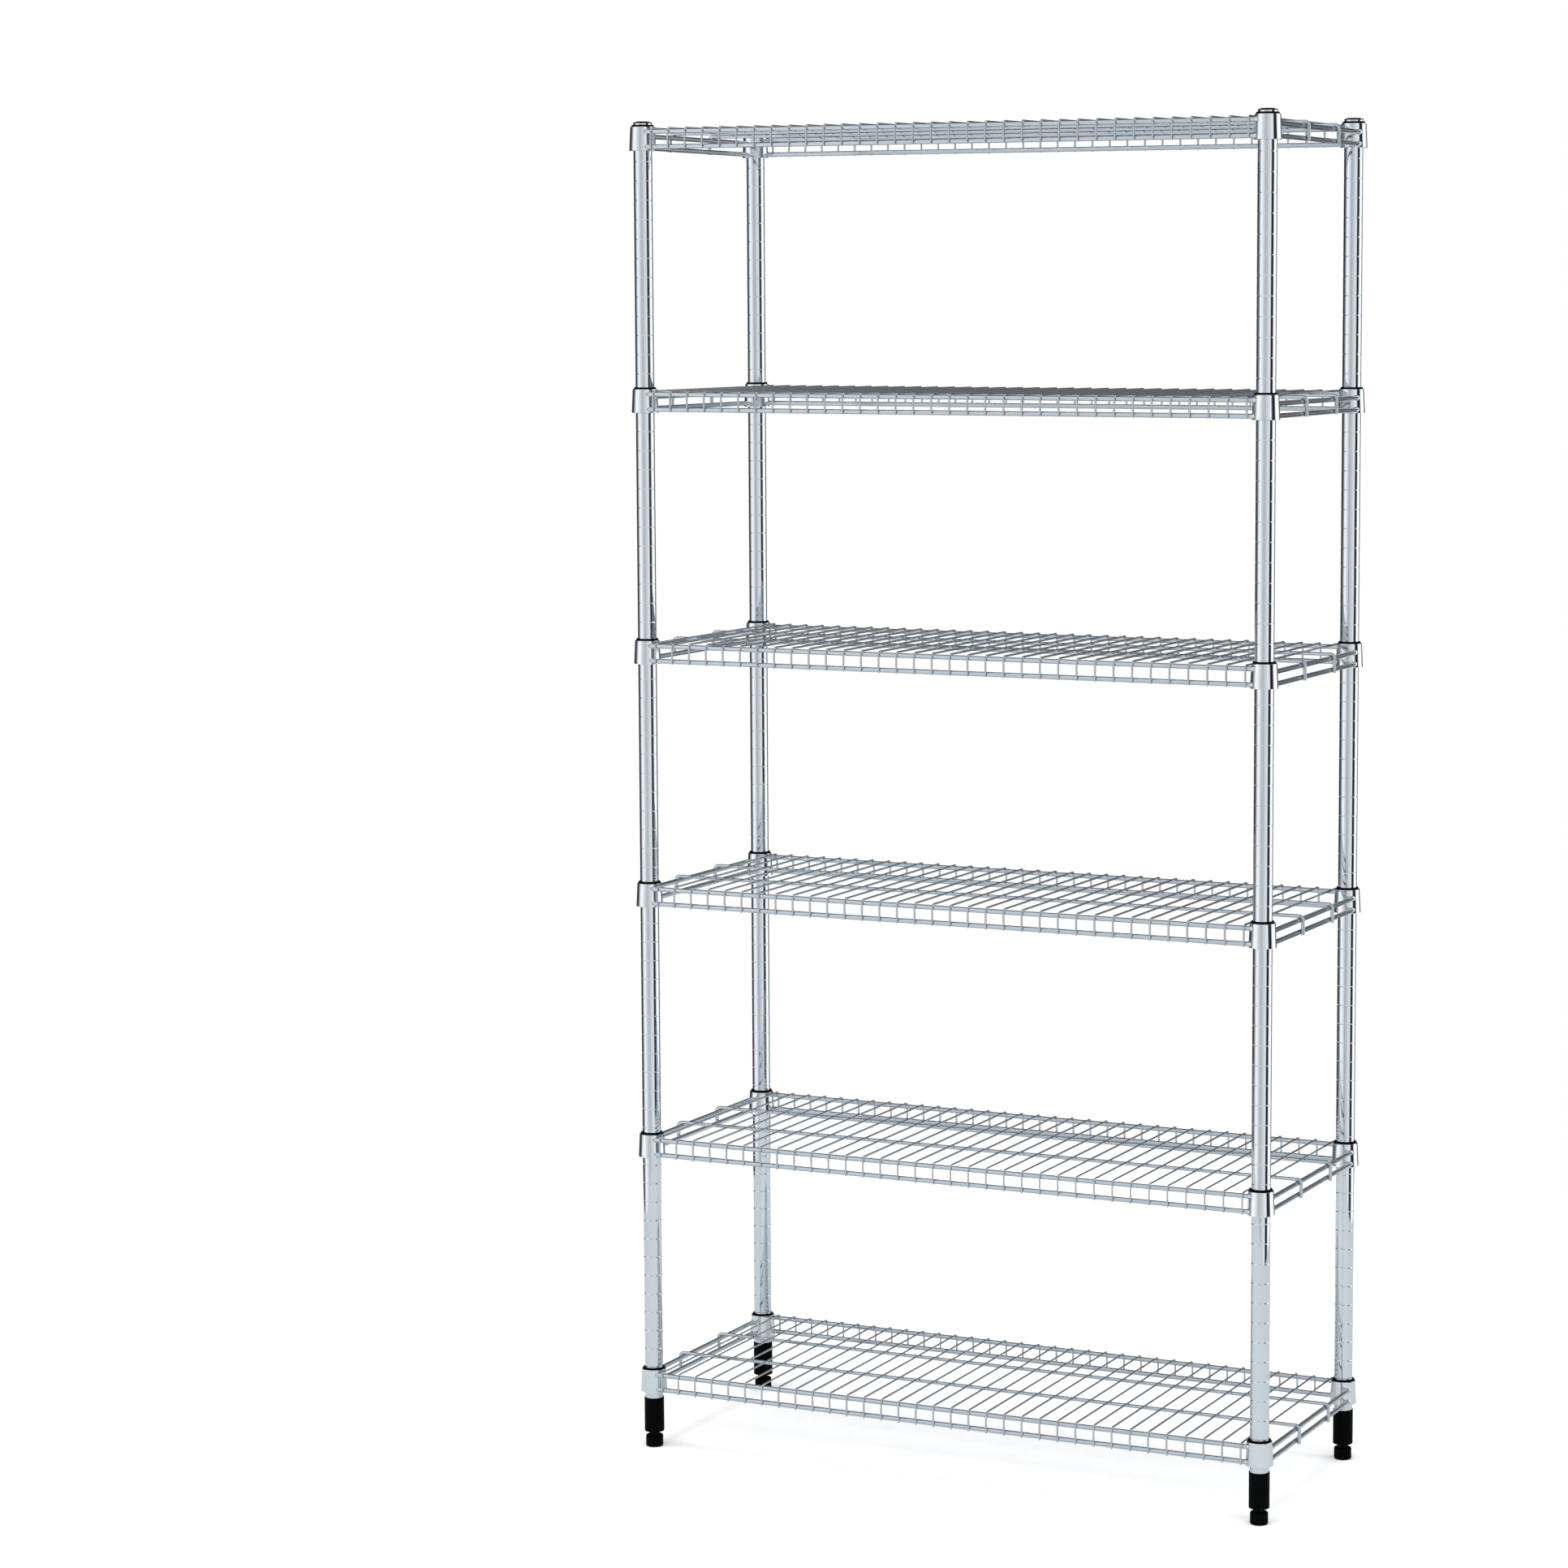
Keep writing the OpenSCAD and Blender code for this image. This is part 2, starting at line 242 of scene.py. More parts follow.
tubeLook = {"colour": "#dde2e6", "dullColour": "#d3d9de", "grainMm": 9.0, "grainStretch": (1, 1, 0.08),
            "patchMm": 60.0, "roughness": (0.03, 0.055), "waviness": 0.05, "waveDepthMm": 0.12}
collarLook = {"colour": "#e3e7ea", "dullColour": "#d8dde1", "grainMm": 7.0, "grainStretch": (1, 1, 0.6),
              "patchMm": 40.0, "roughness": (0.04, 0.075), "waviness": 0.08, "waveDepthMm": 0.12}
wireLook = {"colour": "#cbd1d6", "dullColour": "#bdc4ca", "grainMm": 8.0, "grainStretch": (0.5, 0.5, 0.5),
            "patchMm": 35.0, "roughness": (0.05, 0.1), "waviness": 0.08, "waveDepthMm": 0.1}
tubeChrome = chromePlate("chrome_plate_on_drawn_tube", tubeLook)
collarChrome = chromePlate("chrome_plate_on_pressed_collar", collarLook)
wireChrome = chromePlate("chrome_plate_on_drawn_wire", wireLook)


# Moulded black polypropylene: a soft sheen from the mould's spark-eroded texture, a little uneven in its
# blackness
def mouldedPlastic(name, look):
    material, tree = newMaterial(name)
    place = addNode(tree, "ShaderNodeTexCoord").outputs["Object"]
    texture = addNode(tree, "ShaderNodeTexNoise", {"Scale": 1 / (look["textureMm"] * mm), "Detail": 2.0},
                      {"Vector": place})
    cloud = addNode(tree, "ShaderNodeTexNoise", {"Scale": 1 / (look["cloudMm"] * mm), "Detail": 4.0},
                    {"Vector": place})
    colour = addNode(tree, "ShaderNodeMix",
                     {"data_type": "RGBA", 6: linear(look["colour"]), 7: linear(look["wornColour"])},
                     {0: cloud.outputs["Fac"]})
    rough = addNode(tree, "ShaderNodeMapRange",
                    {"From Min": 0.3, "From Max": 0.7, "To Min": look["roughness"][0],
                     "To Max": look["roughness"][1]}, {"Value": cloud.outputs["Fac"]})
    skin = addNode(tree, "ShaderNodeBump", {"Strength": look["skin"], "Distance": look["skinDepthMm"] * mm},
                   {"Height": texture.outputs["Fac"]})
    shader = addNode(tree, "ShaderNodeBsdfPrincipled", {"IOR": 1.49, "Specular IOR Level": look["sheen"]},
                     {"Base Color": colour.outputs[2], "Roughness": rough.outputs[0],
                      "Normal": skin.outputs[0]})
    addNode(tree, "ShaderNodeOutputMaterial", links={"Surface": shader.outputs[0]})
    return material


# The real texture is about 0.15 mm across, too fine to show, so it is drawn at 0.8 mm. The sheen is set well
# below a real plastic's, which looked too grey in these surroundings.
sleeveLook = {"colour": "#020303", "wornColour": "#050607", "textureMm": 0.8, "cloudMm": 12.0,
              "roughness": (0.42, 0.55), "skin": 0.2, "skinDepthMm": 0.1, "sheen": 0.03}
clipLook = {"colour": "#020303", "wornColour": "#050607", "textureMm": 0.8, "cloudMm": 9.0,
            "roughness": (0.30, 0.42), "skin": 0.1, "skinDepthMm": 0.06, "sheen": 0.03}
sleevePlastic = mouldedPlastic("textured_black_polypropylene", sleeveLook)
clipPlastic = mouldedPlastic("satin_black_polypropylene", clipLook)


# Blacked steel and zinc plate: metals with a fine grain of plating crystals
def platedSteel(name, look):
    material, tree = newMaterial(name)
    place = addNode(tree, "ShaderNodeTexCoord").outputs["Object"]
    crystals = addNode(tree, "ShaderNodeTexVoronoi", {"Scale": 1 / (look["crystalMm"] * mm)},
                       {"Vector": place})
    tone = addNode(tree, "ShaderNodeMix",
                   {"data_type": "RGBA", 6: linear(look["colour"]), 7: linear(look["otherColour"])},
                   {0: crystals.outputs["Distance"]})
    rough = addNode(tree, "ShaderNodeMapRange",
                    {"From Min": 0.0, "From Max": 0.8, "To Min": look["roughness"][0],
                     "To Max": look["roughness"][1]}, {"Value": crystals.outputs["Distance"]})
    shader = addNode(tree, "ShaderNodeBsdfPrincipled", {"Metallic": look["metallic"]},
                     {"Base Color": tone.outputs[2], "Roughness": rough.outputs[0]})
    addNode(tree, "ShaderNodeOutputMaterial", links={"Surface": shader.outputs[0]})
    return material


oxideLook = {"colour": "#1b1c1f", "otherColour": "#26282b", "crystalMm": 1.2, "roughness": (0.35, 0.5),
             "metallic": 0.85}
zincLook = {"colour": "#b9bec2", "otherColour": "#a6abb0", "crystalMm": 2.0, "roughness": (0.25, 0.4),
            "metallic": 1.0}
blackOxide = platedSteel("black_oxide_on_rolled_thread", oxideLook)
zincPlate = platedSteel("zinc_plate_on_turned_steel", zincLook)
print("materials made:", len(bpy.data.materials))


post = {"segments": 64, "wall": 1.0, "endEase": 0.4, "easeSteps": 4, "boreEase": 0.25, "plainEnd": 8.0,
        "groovePitch": 25.4, "grooveCount": 80, "firstGrooveDrop": 24.9, "grooveWidth": 1.5,
        "grooveDepth": 0.38, "grooveSteps": 7, "grooveRoundness": 1.4}

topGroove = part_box("upper_post_front_left")[1].z - post["firstGrooveDrop"] * mm
grooveHeights = topGroove - np.arange(post["grooveCount"]) * post["groovePitch"] * mm


# Outer wall going up, an eased top edge, the bore going down, an eased bottom. Each groove is a valley with
# its depth falling off as cos(u pi / 2)^roundness, where u goes from -1 to 1 across it.
def postOutline(low, high, radius, grooves):
    wall, ease, boreEase = metres(post, "wall", "endEase", "boreEase")
    depth, width = metres(post, "grooveDepth", "grooveWidth")
    u = np.linspace(-1, 1, post["grooveSteps"])
    valleyRadius = radius - depth * np.cos(u * np.pi / 2) ** post["grooveRoundness"]
    outline = arc(radius - ease, low + ease, ease, -90, 0, post["easeSteps"])
    for height in grooves:
        outline += np.stack([valleyRadius, height + u * width / 2], 1).tolist()
    outline += arc(radius - ease, high - ease, ease, 0, 90, post["easeSteps"])
    bore = radius - wall
    outline += [[bore + boreEase, high], [bore, high - boreEase],
                [bore, low + boreEase], [bore + boreEase, low]]
    return steadied(outline)


def makePost(level, corner):
    node = f"{level}_post_{corner}"
    low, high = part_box(node)
    plainEnd = post["plainEnd"] * mm
    inside = (grooveHeights > low.z + plainEnd) & (grooveHeights < high.z - plainEnd)
    outline = postOutline(low.z, high.z, (high.x - low.x) / 2, grooveHeights[inside][::-1])
    makePiece(f"{level}post_{corner}", [turnedRing(outline, middleOf(node), post["segments"])], "root",
              tubeChrome, node)


for corner in corners:
    makePost("upper", corner)
    makePost("lower", corner)
print("posts made")


cap = {"segments": 64, "rim": 1.3, "rimEase": 0.45, "rimSteps": 5, "crownRadius": 8.6, "crownEase": 1.2,
       "crownSteps": 6, "domeShare": 0.15, "domeRings": (0.8, 0.5, 0.25),
       "plugRadius": 11.36, "plugWall": 1.6, "plugHeight": 13.0, "plugEase": 0.4, "plugSteps": 3}


# From the underside of the crown, down inside the plug and up outside it, round the rim and over the crown.
# The crown's edge rises from the rim as (1 - cos pi t) / 2, and its dome falls from the middle as
# (r / crown)^2.
def makeCap(corner):
    node = "post_cap_" + corner
    low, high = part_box(node)
    radius = (high.x - low.x) / 2
    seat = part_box("upper_post_" + corner)[1].z
    rim, rimEase, crown, crownEase = metres(cap, "rim", "rimEase", "crownRadius", "crownEase")
    plug, plugWall, plugHeight, plugEase = metres(cap, "plugRadius", "plugWall", "plugHeight", "plugEase")
    rimTop = seat + rim
    rise = high.z - rimTop
    dome = rise * cap["domeShare"]
    t = np.linspace(0, 1, cap["crownSteps"])
    share = np.array(cap["domeRings"])
    edgeHeight = rimTop + (rise - dome) * (1 - np.cos(np.pi * t)) / 2
    crownEdge = np.stack([crown + crownEase * (1 - t), edgeHeight], 1)
    crownTop = np.stack([crown * share, high.z - dome * share ** 2], 1)
    plugBore = plug - plugWall
    outline = ([[0, seat - plugWall], [plugBore, seat - plugWall], [plugBore, seat - plugHeight]]
               + arc(plug - plugEase, seat - plugHeight + plugEase, plugEase, -90, 0, cap["plugSteps"])
               + [[plug, seat], [radius, seat]]
               + arc(radius - rimEase, rimTop - rimEase, rimEase, 0, 90, cap["rimSteps"])
               + crownEdge.tolist() + crownTop.tolist() + [[0, high.z]])
    makePiece("cap_" + corner, [turnedSolid(outline, middleOf(node), cap["segments"])], "root",
              clipPlastic, node)


for corner in corners:
    makeCap(corner)
print("caps made")


endSleeve = {"segments": 64, "boreRadius": 12.42, "holeRadius": 4.8, "floor": 3.3,
             "topEase": 0.5, "topSteps": 4, "bottomEase": 1.1, "bottomSteps": 6}


# A cup with a hole in its floor: up its outer wall, down its bore to the floor, and in to the hole
def makeEndSleeve(corner):
    node = "end_sleeve_" + corner
    low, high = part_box(node)
    radius = (high.x - low.x) / 2
    bore, hole, floor = metres(endSleeve, "boreRadius", "holeRadius", "floor")
    top, bottom = metres(endSleeve, "topEase", "bottomEase")
    outline = steadied([[hole, low.z]]
                       + arc(radius - bottom, low.z + bottom, bottom, -90, 0, endSleeve["bottomSteps"])
                       + arc(radius - top, high.z - top, top, 0, 90, endSleeve["topSteps"])
                       + [[bore, high.z], [bore, low.z + floor], [hole, low.z + floor]])
    makePiece("endsleeve_" + corner, [turnedRing(outline, middleOf(node), endSleeve["segments"])], "root",
              sleevePlastic, node)


foot = {"segments": 48, "ease": 1.9, "easeSteps": 7, "holeRadius": 3.92, "holeFloor": 3.98}


# A round pad, eased at both edges, with a blind hole for the stud from above
def makeFootPad(corner):
    node = "foot_pad_" + corner
    low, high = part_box(node)
    radius = (high.x - low.x) / 2
    ease, hole, holeFloor = metres(foot, "ease", "holeRadius", "holeFloor")
    outline = ([[0, low.z]] + arc(radius - ease, low.z + ease, ease, -90, 0, foot["easeSteps"])
               + arc(radius - ease, high.z - ease, ease, 0, 90, foot["easeSteps"])
               + [[hole, high.z], [hole, low.z + holeFloor], [0, low.z + holeFloor]])
    makePiece("footpad_" + corner, [turnedSolid(outline, middleOf(node), foot["segments"])],
              "foot_" + corner, sleevePlastic, node)


thread = {"pitch": 1.25, "depth": 0.6, "flank": 2.5, "stepsPerTurn": 6, "segments": 32, "leadIn": 1.0}


# The radius is outer - depth (1 - ridge fade). The ridge is flank (0.5 - |phase - 0.5|) held from 0 to 1,
# where the phase is the fraction left of height / pitch - angle / turn, and fade takes both ends down to the
# core.
def makeFootStud(corner):
    node = "foot_stud_" + corner
    low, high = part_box(node)
    centre, radius = middleOf(node), (high.x - low.x) / 2
    pitch, depth, leadIn = metres(thread, "pitch", "depth", "leadIn")
    rows, columns = int((high.z - low.z) / pitch * thread["stepsPerTurn"]), thread["segments"]
    h = np.linspace(low.z, high.z, rows)[:, None]
    a = roundTurn(columns)
    phase = (h / pitch - a / (2 * np.pi)) % 1
    ridge = np.clip(thread["flank"] * (0.5 - np.abs(phase - 0.5)), 0, 1)
    fade = np.clip(np.minimum(h - low.z, high.z - h) / leadIn, 0, 1)
    r = radius - depth * (1 - ridge * fade)
    points = np.stack([centre.x + r * np.cos(a), centre.y + r * np.sin(a), h + 0 * a], -1)
    ring = np.arange(columns)[None, :]
    faces = [gridFaces(rows, columns), ring[:, ::-1], (rows - 1) * columns + ring]
    makePiece("footstud_" + corner, [(points.reshape(-1, 3), faces)], "foot_" + corner,
              blackOxide, node, sharpAngle=60)


for corner in corners:
    makeEndSleeve(corner)
    makeFootPad(corner)
    makeFootStud(corner)
print("feet made")

# The hidden fittings keep their shape from the frame
for node in ("joint_studs", "joint_bushes", "foot_inserts"):
    piece = frame["nodes"][node]
    piece.data.materials.clear()
    piece.data.materials.append(zincPlate)


collar = {"segments": 64, "wall": 1.4, "ease": 0.5, "easeSteps": 6, "innerEase": 0.25, "topRadius": 16.4,
          "taperDegrees": 4}


# Bottom and top height of a shelf's collars, and the radius of their outer wall at the bottom
def collarShape(body):
    low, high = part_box(body + "_collars")
    xPost, yPost = postCentre("back_right")
    return low.z, high.z, min(high.x - xPost, high.y - yPost)


# Radius of a collar's outer wall at a height: it goes evenly from the bottom radius to the top one
def collarRadius(height, low, high, bottomRadius):
    topRadius = collar["topRadius"] * mm
    return bottomRadius + (topRadius - bottomRadius) * (height - low) / (high - low)


# Up the tapered outer wall with its two edges eased, and down the bore
def makeCollars(body):
    low, high, bottom = collarShape(body)
    ease, innerEase, wall, top = metres(collar, "ease", "innerEase", "wall", "topRadius")
    taper, steps = collar["taperDegrees"], collar["easeSteps"]
    outline = steadied(arc(bottom - ease, low + ease, ease, -90, taper, steps)
                       + arc(top - ease, high - ease, ease, taper, 90, steps)
                       + [[top - wall + innerEase, high], [top - wall, high - innerEase],
                          [bottom - wall, low + innerEase], [bottom - wall + innerEase, low]])
    rings = [turnedRing(outline, postCentre(corner), collar["segments"]) for corner in corners]
    makePiece(body + "_corner_collars", rings, body, collarChrome, body + "_collars")


# Wires go in by sink where they are welded, and a rod's end goes in by sink + wallSink at the collar's wall.
# The weld swells a rod's end over the reach, with rings of points at these shares of it.
wire = {"rodRadius": 3.1, "supportRadius": 2.4, "deckRadius": 1.3, "deckCount": 34, "tipEase": 0.3,
        "rodSides": 24, "supportSides": 16, "deckSides": 8, "supportBendPoints": 7, "deckBendPoints": 3,
        "sink": 0.2, "wallSink": 0.1, "weldFlare": 0.8, "weldReach": 2.6,
        "weldRings": (0, 0.15, 0.35, 0.6, 1.0, 1.6)}


# A straight rod between two collars. Each end is cut to the collar's wall, which is at
# post - sqrt(R(z)^2 - offset^2) along the rod, and at s from the end it is thicker by
# flare (1 - s / reach)^2.
def rimRod(along, across, height, postAcross, postAlong, shape):
    sides = wire["rodSides"]
    radius, sink, wallSink = metres(wire, "rodRadius", "sink", "wallSink")
    flare, reach = metres(wire, "weldFlare", "weldReach")
    b = roundTurn(sides)
    s = np.array(wire["weldRings"])[:, None] * reach
    r = radius + flare * np.clip(1 - s / reach, 0, 1) ** 2
    crosswise, upward = across + r * np.cos(b), height + r * np.sin(b)
    offset = crosswise - np.sign(across) * postAcross
    wall = np.sqrt(np.maximum((collarRadius(upward, *shape) - wallSink) ** 2 - offset ** 2, 0))
    lengthwise = postAlong - wall + sink - s
    lengthwise = np.vstack([-lengthwise, lengthwise[::-1]])
    crosswise, upward = (np.vstack([values, values[::-1]]) for values in (crosswise, upward))
    level = [lengthwise, crosswise] if along == "x" else [crosswise, lengthwise]
    points = np.stack([*level, upward], -1)
    firstEnd = np.arange(sides)[None, ::-1]
    lastEnd = (len(lengthwise) - 1) * sides + firstEnd[:, ::-1]
    faces = [gridFaces(len(lengthwise), sides), firstEnd, lastEnd]
    if along == "y":    # swapping the two axes turned the faces inside out
        faces = [block[:, ::-1] for block in faces]
    return points.reshape(-1, 3), faces


# How far the end rods and the long rods are from the middle of the rack
def rodPlaces(body):
    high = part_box(body + "_rim_rods")[1]
    return high.x - wire["rodRadius"] * mm, high.y - wire["rodRadius"] * mm


# The upper end rods are lower than the upper long ones, so that the support wires can rest on them
def makeRods(body):
    low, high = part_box(body + "_rim_rods")
    radius, supportRadius, sink = metres(wire, "rodRadius", "supportRadius", "sink")
    xRod, yRod = rodPlaces(body)
    xPost, yPost = postCentre("back_right")
    upperZ, lowerZ = high.z - radius, low.z + radius
    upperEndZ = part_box(body + "_support_wires")[1].z - 2 * supportRadius - radius + sink
    shape = collarShape(body)
    rods = [rimRod("x", side * yRod, z, yPost, xPost, shape) for side in (-1, 1) for z in (upperZ, lowerZ)]
    rods += [rimRod("y", side * xRod, z, xPost, yPost, shape)
             for side in (-1, 1) for z in (upperEndZ, lowerZ)]
    makePiece(body + "_rods", rods, body, wireChrome, body + "_rim_rods")


# A wire that runs straight, bends down over a rod at each end and has a leg that stops at the tip's height.
# In its own plane it is the leg's points, the bend's arc, and the same mirrored with the run between.
def hookedPath(reach, bend, runHeight, tipHeight, bendPoints, legRises=(0,)):
    leg = [[reach + bend, tipHeight + rise] for rise in legRises]
    right = np.array(leg + arc(reach, runHeight - bend, bend, 0, 90, bendPoints))
    return np.vstack([right * [-1, 1], right[::-1]])


def makeSupports(body):
    low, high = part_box(body + "_support_wires")
    radius, rodRadius, sink, tipEase = metres(wire, "supportRadius", "rodRadius", "sink", "tipEase")
    path = hookedPath(rodPlaces(body)[0], rodRadius + radius - sink, high.z - radius, low.z,
                      wire["supportBendPoints"], (0, tipEase))
    radii = np.full(len(path), radius)
    radii[[0, -1]] -= tipEase
    places = [np.full(len(path), side * (high.y - radius)) for side in (-1, 1)]
    supports = [carriedWire(np.stack([path[:, 0], y, path[:, 1]], 1), radii, [0, 1, 0], wire["supportSides"])
                for y in places]
    makePiece(body + "_supports", supports, body, wireChrome, body + "_support_wires")


def makeDeck(body):
    low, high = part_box(body + "_deck_wires")
    radius, rodRadius, sink = metres(wire, "deckRadius", "rodRadius", "sink")
    path = hookedPath(rodPlaces(body)[1], rodRadius + radius - sink, high.z - radius, low.z,
                      wire["deckBendPoints"])
    radii = np.full(len(path), radius)
    places = [np.full(len(path), x) for x in np.linspace(low.x + radius, high.x - radius, wire["deckCount"])]
    decks = [carriedWire(np.stack([x, path[:, 0], path[:, 1]], 1), radii, [-1, 0, 0], wire["deckSides"])
             for x in places]
    makePiece(body + "_deck", decks, body, wireChrome, body + "_deck_wires")


for number in range(1, len(shelves) + 1):
    body = "shelf_" + str(number)
    makeCollars(body)
    makeRods(body)
    makeSupports(body)
    makeDeck(body)
print("shelves made")


clip = {"segments": 30, "bore": 12.45, "slit": 0.5, "seatGap": 0.3, "lipEase": 0.9, "lipSteps": 6,
        "beadHeight": 0.9, "beadDepth": 0.28, "steadyGap": 0.1}


# Each sleeve half has the taper of the collar's bore outside, a rounded lip on top and a bead inside, which
# sits in the post groove nearest the half's middle. The slits between the halves face the rack's two ends.
def makeSplitSleeves(number):
    node = "shelf_clips_" + str(number)
    low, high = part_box(node)
    shelfTop = collarShape("shelf_" + str(number))[1]
    bore, slit, seatGap, lip = metres(clip, "bore", "slit", "seatGap", "lipEase")
    beadHeight, beadDepth, steadyGap = metres(clip, "beadHeight", "beadDepth", "steadyGap")
    bottomRadius = (high.x - low.x) / 2 - postCentre("front_right")[0]
    seat = (collar["topRadius"] - collar["wall"]) * mm - seatGap
    grooveAt = grooveHeights[np.abs(grooveHeights - (low.z + high.z) / 2).argmin()]
    bead = np.array([[0, 1], [-1, 0.5], [-1, -0.5], [0, -1]]) * [beadDepth, beadHeight / 2]
    outline = steadied([[bore, low.z], [bottomRadius, low.z], [seat, shelfTop]]
                       + arc(seat - lip, high.z - lip, lip, 0, 90, clip["lipSteps"]) + [[bore, high.z]]
                       + (bead + [bore, grooveAt]).tolist(), steadyGap)
    halfSlit = math.asin(slit / 2 / bore)
    halves = [turnedArc(outline, postCentre(corner), turn + halfSlit, turn + math.pi - halfSlit,
                        clip["segments"]) for corner in corners for turn in (0, math.pi)]
    makePiece("sleeves_" + str(number), halves, "root", clipPlastic, node)


for number in range(1, len(shelves) + 1):
    makeSplitSleeves(number)
print("sleeves made")


# The floor is mirrored in the chrome darker than it is seen
stage = {"radius": 1.9, "segments": 96, "drop": 0.4, "colour": "#f6f6f6", "mirroredColour": "#bcbfc1"}

floorMaterial, tree = newMaterial("matt_white_floor")
mirrored = addNode(tree, "ShaderNodeLightPath").outputs["Is Glossy Ray"]
floorTone = addNode(tree, "ShaderNodeMix",
                    {"data_type": "RGBA", 6: linear(stage["colour"]), 7: linear(stage["mirroredColour"])},
                    {0: mirrored})
shader = addNode(tree, "ShaderNodeBsdfDiffuse", links={"Color": floorTone.outputs[2]})
addNode(tree, "ShaderNodeOutputMaterial", links={"Surface": shader.outputs[0]})
disc = turnedPoints([[stage["radius"], -stage["drop"] * mm]], (0, 0), roundTurn(stage["segments"]))
floorMesh = bpy.data.meshes.new("floor")
floorMesh.from_pydata(disc.tolist(), [], [list(range(stage["segments"]))])
floorMesh.materials.append(floorMaterial)
floorPiece = bpy.data.objects.new("floor", floorMesh)
bpy.context.scene.collection.objects.link(floorPiece)

# What surrounds the rack, as brightness by compass direction from +X towards +Y: pale walls, a narrow dark
# gap on the right and a dim side behind, with a pale ceiling in front and a dim one behind. Only the chrome
# and the shading see it: the camera sees plain white. The walls fade into the ceiling, and its front into its
# back, over the given ranges of the direction's z and y. A colour ramp holds at most 1, so each brightness is
# stored divided by the strength.
surroundings = {"strength": 1.8, "colour": "#fafcff", "overheadFront": 0.85, "overheadBack": 0.08,
                "overheadFrom": (0.5, 0.85), "frontToBack": (-0.15, 0.3), "bands": [
                    (-180, 0.10), (-168, 0.34), (-153, 1.12), (-138, 1.30), (-124, 1.16), (-111, 0.93),
                    (-99, 0.76), (-88, 0.66), (-77, 0.66), (-65, 0.80), (-54, 0.88), (-42, 0.95), (-32, 1.20),
                    (-24, 0.75), (-17, 0.02), (4, 0.02), (11, 0.5), (21, 1.5), (37, 1.75), (55, 1.2),
                    (66, 0.35), (80, 0.1), (110, 0.1), (150, 0.06), (170, 0.04)]}

world = bpy.data.worlds.new("studio")
bpy.context.scene.world = world
world.use_nodes = True
tree = world.node_tree
tree.nodes.clear()
direction = addNode(tree, "ShaderNodeTexCoord").outputs["Generated"]
parts = addNode(tree, "ShaderNodeSeparateXYZ", links={0: direction})
compass = addNode(tree, "ShaderNodeMath", {"operation": "ARCTAN2"},
                  {0: parts.outputs[1], 1: parts.outputs[0]})
turnShare = addNode(tree, "ShaderNodeMapRange", {"From Min": -math.pi, "From Max": math.pi},
                    {"Value": compass.outputs[0]})
ramp = addNode(tree, "ShaderNodeValToRGB", links={0: turnShare.outputs[0]})
bands = surroundings["bands"] + [(180, surroundings["bands"][0][1])]
elements = ramp.color_ramp.elements
for k, (angle, brightness) in enumerate(bands):
    element = elements[k] if k < 2 else elements.new((angle + 180) / 360)
    element.position = (angle + 180) / 360
    element.color = (brightness / surroundings["strength"],) * 3 + (1,)
walls = addNode(tree, "ShaderNodeMath", {"operation": "MULTIPLY", 1: surroundings["strength"]},
                {0: ramp.outputs[0]})
overhead = addNode(tree, "ShaderNodeMapRange",
                   {"From Min": surroundings["frontToBack"][0], "From Max": surroundings["frontToBack"][1],
                    "To Min": surroundings["overheadFront"], "To Max": surroundings["overheadBack"]},
                   {"Value": parts.outputs[1]})
upShare = addNode(tree, "ShaderNodeMapRange",
                  {"interpolation_type": "SMOOTHSTEP", "From Min": surroundings["overheadFrom"][0],
                   "From Max": surroundings["overheadFrom"][1]}, {"Value": parts.outputs[2]})
mixed = addNode(tree, "ShaderNodeMix", {"data_type": "FLOAT"},
                {0: upShare.outputs[0], 2: walls.outputs[0], 3: overhead.outputs[0]})
around = addNode(tree, "ShaderNodeBackground", {"Color": linear(surroundings["colour"])},
                 {"Strength": mixed.outputs[0]})
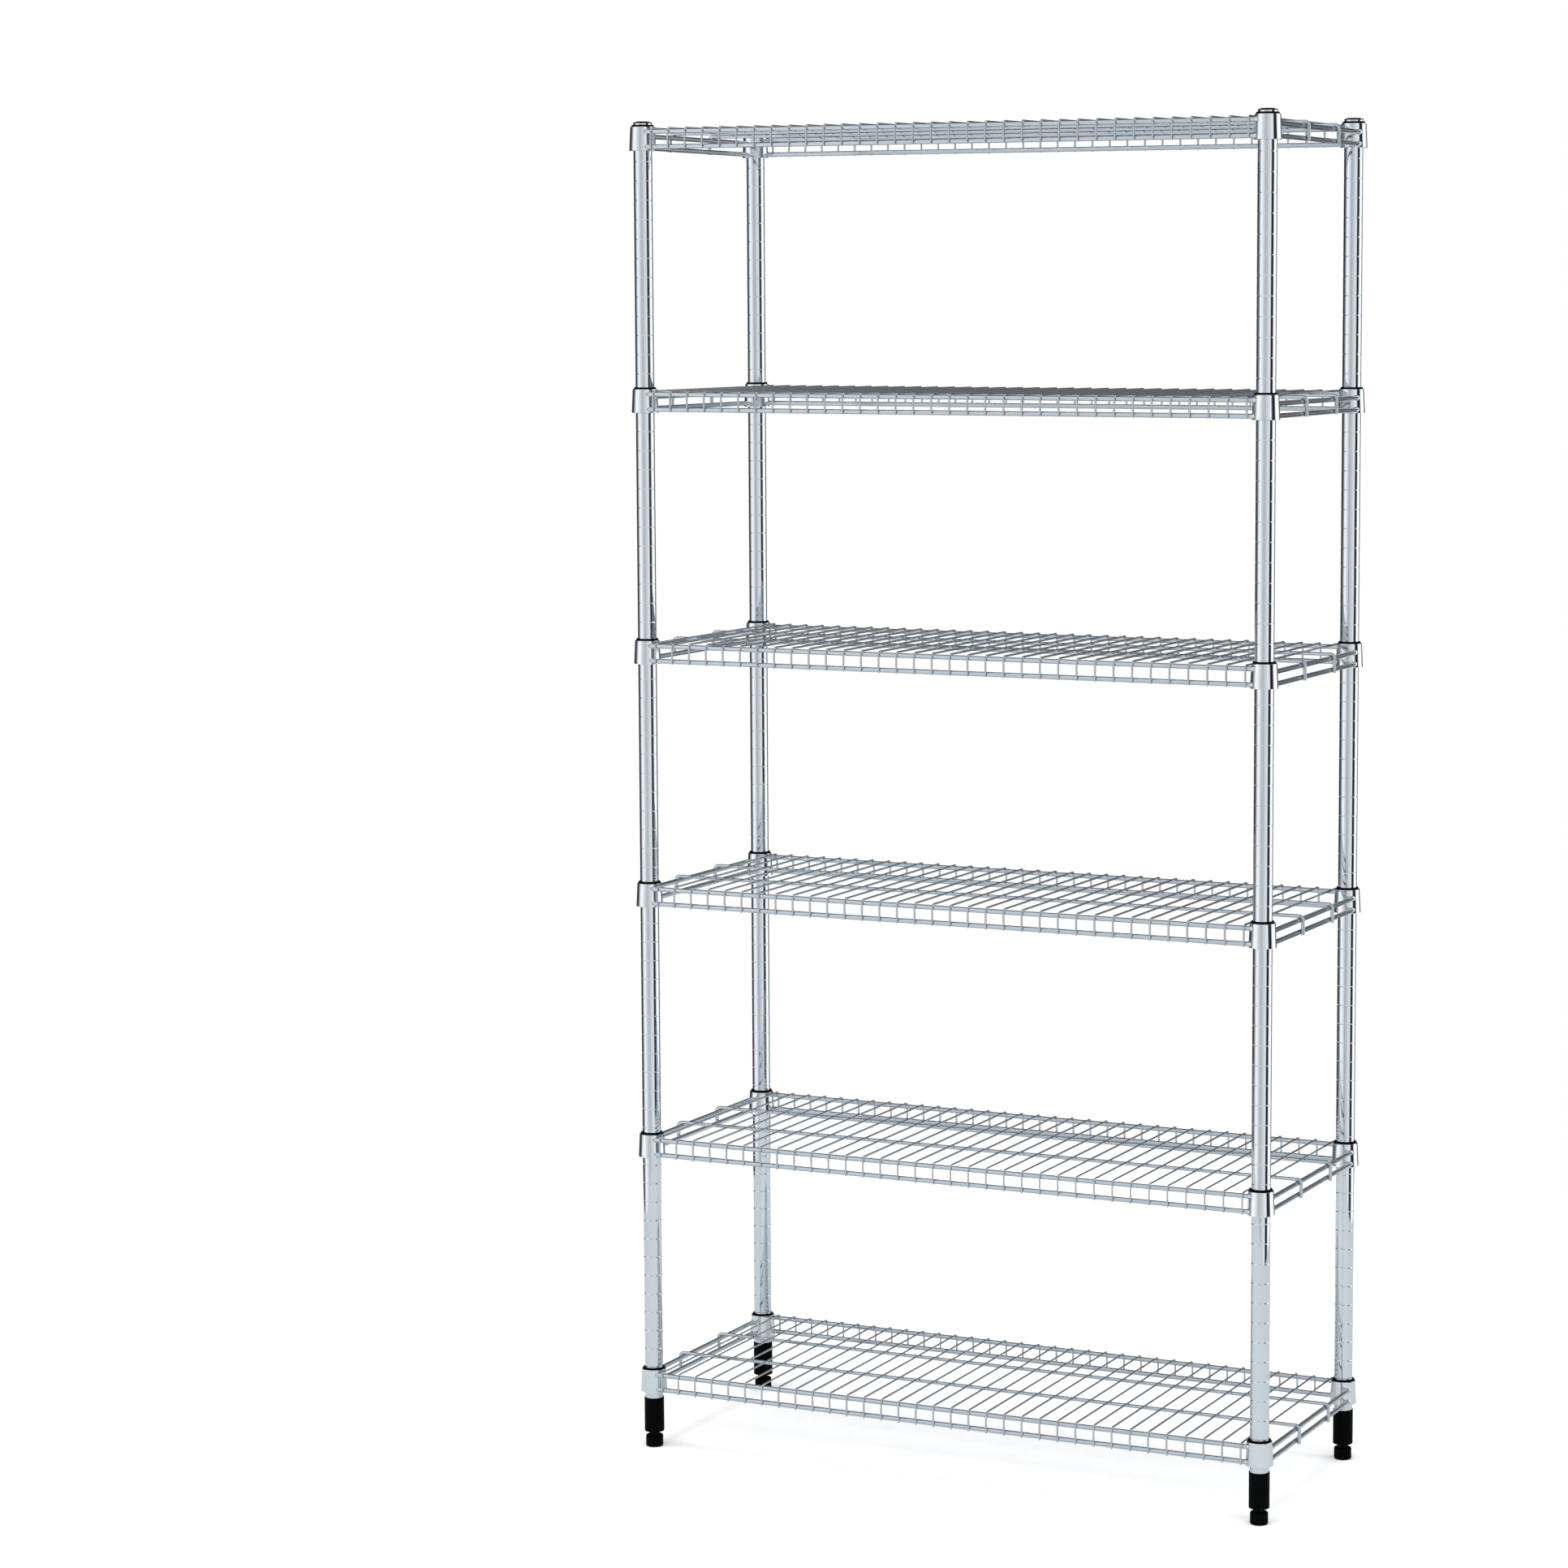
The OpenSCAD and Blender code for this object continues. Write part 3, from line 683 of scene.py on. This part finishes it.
plain = addNode(tree, "ShaderNodeBackground", {"Color": (1, 1, 1, 1), "Strength": 1.0})
seen = addNode(tree, "ShaderNodeLightPath").outputs["Is Camera Ray"]
both = addNode(tree, "ShaderNodeMixShader", links={0: seen, 1: around.outputs[0], 2: plain.outputs[0]})
addNode(tree, "ShaderNodeOutputWorld", links={0: both.outputs[0]})

softLight = {"size": 5.0, "power": 480.0, "place": (0.2, -0.6, 6.0), "aim": (0, 0, 0.6)}
lamp = bpy.data.lights.new("overhead_softbox", "AREA")
lamp.shape, lamp.size, lamp.energy = "DISK", softLight["size"], softLight["power"]
lampObject = bpy.data.objects.new("overhead_softbox", lamp)
bpy.context.scene.collection.objects.link(lampObject)
lampObject.location = softLight["place"]
lampObject.visible_glossy = False
lampAim = Vector(softLight["aim"]) - lampObject.location
lampObject.rotation_euler = lampAim.to_track_quat("-Z", "Y").to_euler()

# The azimuth turns the camera about +Z from looking along +Y, and down tips it below level
view = {"place": (2.2025, -4.9911, 1.5634), "azimuth": 24.648, "down": 5.961, "roll": -0.112, "lens": 94.52,
        "sensorWidth": 36, "shift": (-0.0972, -0.0388), "farthest": 60}
azimuth, down, roll = (math.radians(view[name]) for name in ("azimuth", "down", "roll"))
forward = Vector((-math.sin(azimuth) * math.cos(down), math.cos(azimuth) * math.cos(down), -math.sin(down)))
level = Vector((math.cos(azimuth), math.sin(azimuth), 0))
upward = level.cross(forward)
right = math.cos(roll) * level + math.sin(roll) * upward
above = math.cos(roll) * upward - math.sin(roll) * level
cameraData = bpy.data.cameras.new("camera")
cameraData.lens, cameraData.sensor_width = view["lens"], view["sensorWidth"]
cameraData.shift_x, cameraData.shift_y = view["shift"]
cameraData.clip_end = view["farthest"]
camera = bpy.data.objects.new("camera", cameraData)
bpy.context.scene.collection.objects.link(camera)
turned = Matrix((right, above, -forward)).transposed().to_4x4()
camera.matrix_world = Matrix.Translation(view["place"]) @ turned
bpy.context.scene.camera = camera
bpy.context.scene.view_settings.view_transform = "Standard"
print("stage, light and camera made")
